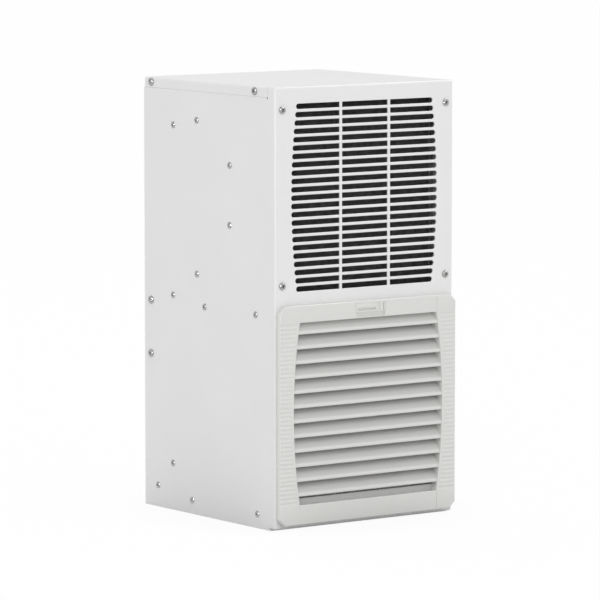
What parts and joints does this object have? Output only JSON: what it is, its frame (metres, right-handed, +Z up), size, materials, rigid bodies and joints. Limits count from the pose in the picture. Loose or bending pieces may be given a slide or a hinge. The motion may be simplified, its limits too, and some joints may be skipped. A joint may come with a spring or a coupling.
{
  "type": "enclosure cooling unit",
  "caption": "Compact cooling unit for an electrical enclosure: sheet steel housing with a slotted upper front, a louvred filter cover below, and a rear with air intake and cold air outlet.",
  "frame": {"origin": "centre of the footprint, on the level of the housing's bottom edge", "axes": "+Z up; the front with the slots and the filter cover faces -Y; the cabinet side faces +Y; X across the front"},
  "size_m": [0.255, 0.2764, 0.508],
  "materials": {
    "housing_paint": "fine textured powder coat, light grey",
    "rear_sheet": "fine textured powder coat, light grey",
    "cover_plastic": "moulded, fine satin grain",
    "filter_fleece": "coarse non-woven fleece",
    "black_fins": "thin black coated fins",
    "galvanised_sheet": "galvanised, dull",
    "bare_fins": "thin bare aluminium fins",
    "tray_plastic": "moulded, matte",
    "black_plastic": "moulded, satin",
    "zinc_plated_steel": "zinc plated",
    "foam_rubber": "closed-cell foam, matte"
  },
  "bodies": {
    "root": {"slotted_front_panel": "housing_paint", "lower_front_panel": "housing_paint", "left_side_panel": "housing_paint", "right_side_panel": "housing_paint", "top_cover": "housing_paint", "base_pan": "housing_paint", "rear_intake_panel": "rear_sheet", "rear_outlet_panel": "rear_sheet", "filter_cover": "cover_plastic", "release_tab": "cover_plastic", "filter_frame": "cover_plastic", "filter_mat": "filter_fleece", "condenser_fins": "black_fins", "condenser_end_plate_left": "galvanised_sheet", "condenser_end_plate_right": "galvanised_sheet", "fan_shroud": "galvanised_sheet", "middle_deck": "galvanised_sheet", "partition_wall": "galvanised_sheet", "evaporator_fins": "bare_fins", "evaporator_end_plates": "galvanised_sheet", "condensate_tray": "tray_plastic", "drain_spigot": "tray_plastic", "fan_motor": "black_plastic", "fan_impeller": "black_plastic", "intake_nozzle": "galvanised_sheet", "mounting_nuts": "zinc_plated_steel", "rear_gasket": "foam_rubber", "supply_socket": "black_plastic"}
  },
  "joints": []
}
